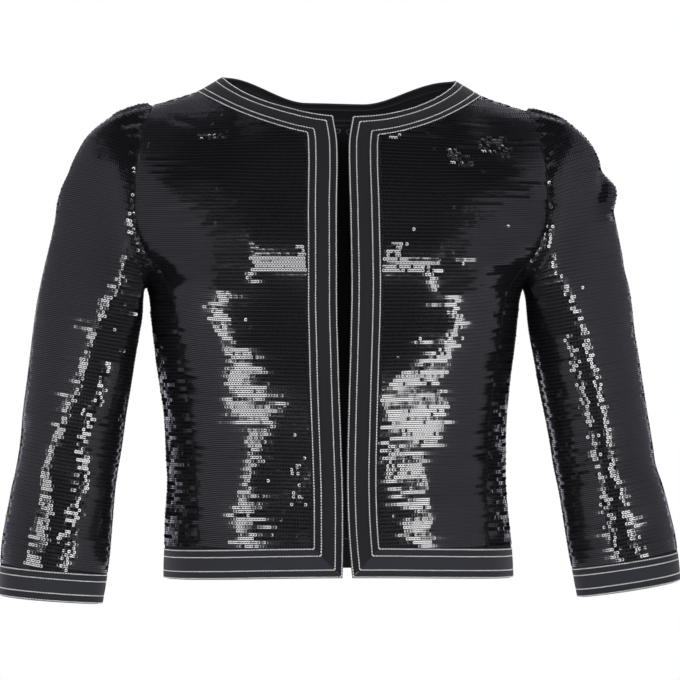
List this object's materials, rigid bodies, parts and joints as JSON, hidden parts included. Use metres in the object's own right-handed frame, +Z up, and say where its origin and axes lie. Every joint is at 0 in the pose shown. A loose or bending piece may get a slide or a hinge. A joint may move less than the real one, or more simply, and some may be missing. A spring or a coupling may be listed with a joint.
{
  "type": "cropped blazer",
  "caption": "Cropped, collarless, sequinned jacket with three-quarter sleeves, plain topstitched bands round its edges and a hook and eye at the neck.",
  "frame": {"origin": "where the wearer's shoulders hold the jacket up: the middle of the line between the two points where the neck's edge crosses the tops of the shoulders", "axes": "+X to the wearer's left, -Y out of the jacket's front, +Z up"},
  "size_m": [0.6474, 0.2227, 0.4982],
  "materials": {
    "sequinned_cloth": "black cloth covered with rows of small glossy sequins",
    "band_cloth": "matte charcoal cloth with four rows of pale topstitching",
    "hook_and_eye": "black coated wire"
  },
  "bodies": {
    "root": {"front_left": "sequinned_cloth", "side_panel_left": "sequinned_cloth", "sleeve_left": "sequinned_cloth", "front_right": "sequinned_cloth", "side_panel_right": "sequinned_cloth", "sleeve_right": "sequinned_cloth", "back": "sequinned_cloth", "front_band_left": "band_cloth", "cuff_left": "band_cloth", "front_band_right": "band_cloth", "cuff_right": "band_cloth", "neck_band": "band_cloth", "hem_band": "band_cloth", "hook": "hook_and_eye", "eye": "hook_and_eye"}
  },
  "joints": []
}
